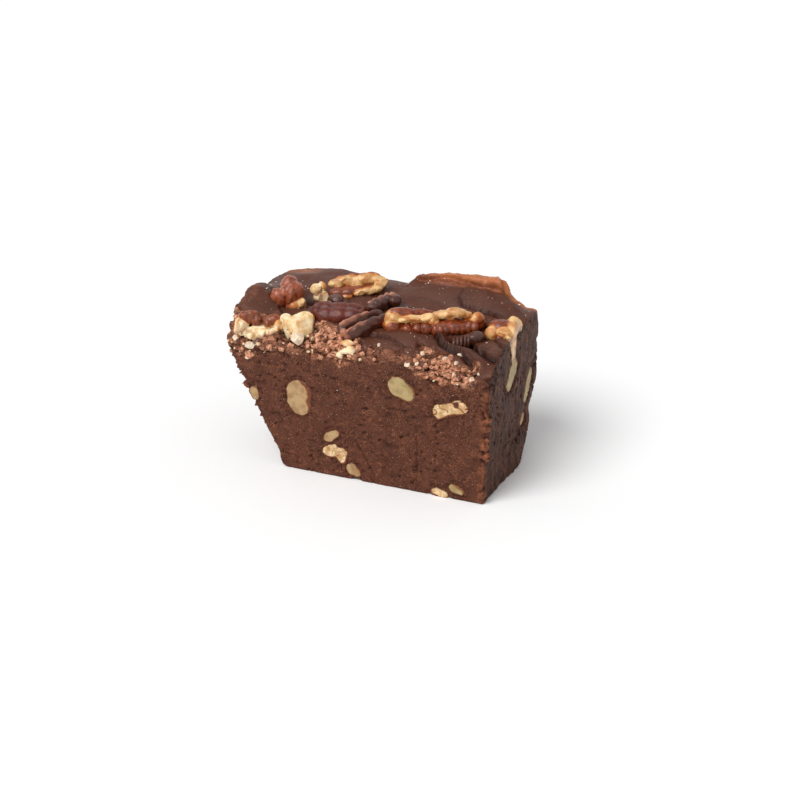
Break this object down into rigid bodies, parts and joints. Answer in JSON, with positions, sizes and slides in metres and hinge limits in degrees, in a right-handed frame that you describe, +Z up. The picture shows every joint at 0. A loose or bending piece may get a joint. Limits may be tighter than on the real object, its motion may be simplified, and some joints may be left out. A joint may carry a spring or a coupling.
{
  "type": "chocolate fudge",
  "caption": "Cut piece of chocolate fudge from a loaf tin: two flat cut faces, two sloping tin walls, pecans set in the uneven top and showing in the cut faces.",
  "frame": {"origin": "middle of the piece's box, on the surface that it rests on", "axes": "+X along the piece towards the right cut face, +Y from the front cut face to the back wall, +Z up"},
  "size_m": [0.0824, 0.045, 0.0527],
  "materials": {
    "fudge": "dark chocolate fudge: matte, porous and speckled where cut, satin on the poured top",
    "pecan_skin": "red-brown pecan skin, wrinkled, satin",
    "pecan_meat": "cream broken pecan, matte to satin",
    "green_meat": "yellow-green cut nut, satin",
    "coated_nut": "pecan under a thin chocolate coat, satin"
  },
  "bodies": {
    "root": {"fudge_block": "fudge", "pecan_long": "pecan_skin", "pecan_back": "pecan_meat", "pecan_chunk": "pecan_skin", "pecan_bit": "pecan_meat", "coated_bit": "coated_nut", "pecan_stained": "pecan_skin", "coated_half": "coated_nut", "coated_ridge": "coated_nut", "pecan_corner": "pecan_skin", "pecan_craggy": "pecan_meat", "pecan_wedge": "pecan_meat", "pecan_knuckle": "pecan_meat", "coated_ridged": "coated_nut", "inset_oval": "pecan_meat", "inset_green": "green_meat", "inset_cracked": "pecan_meat", "inset_leaf": "pecan_meat", "inset_cluster": "pecan_meat", "inset_drop": "pecan_meat", "inset_foot": "pecan_meat", "inset_seed": "pecan_meat", "inset_edge": "pecan_meat", "inset_side_long": "green_meat", "inset_side_back": "green_meat", "inset_side_low": "pecan_meat"}
  },
  "joints": []
}
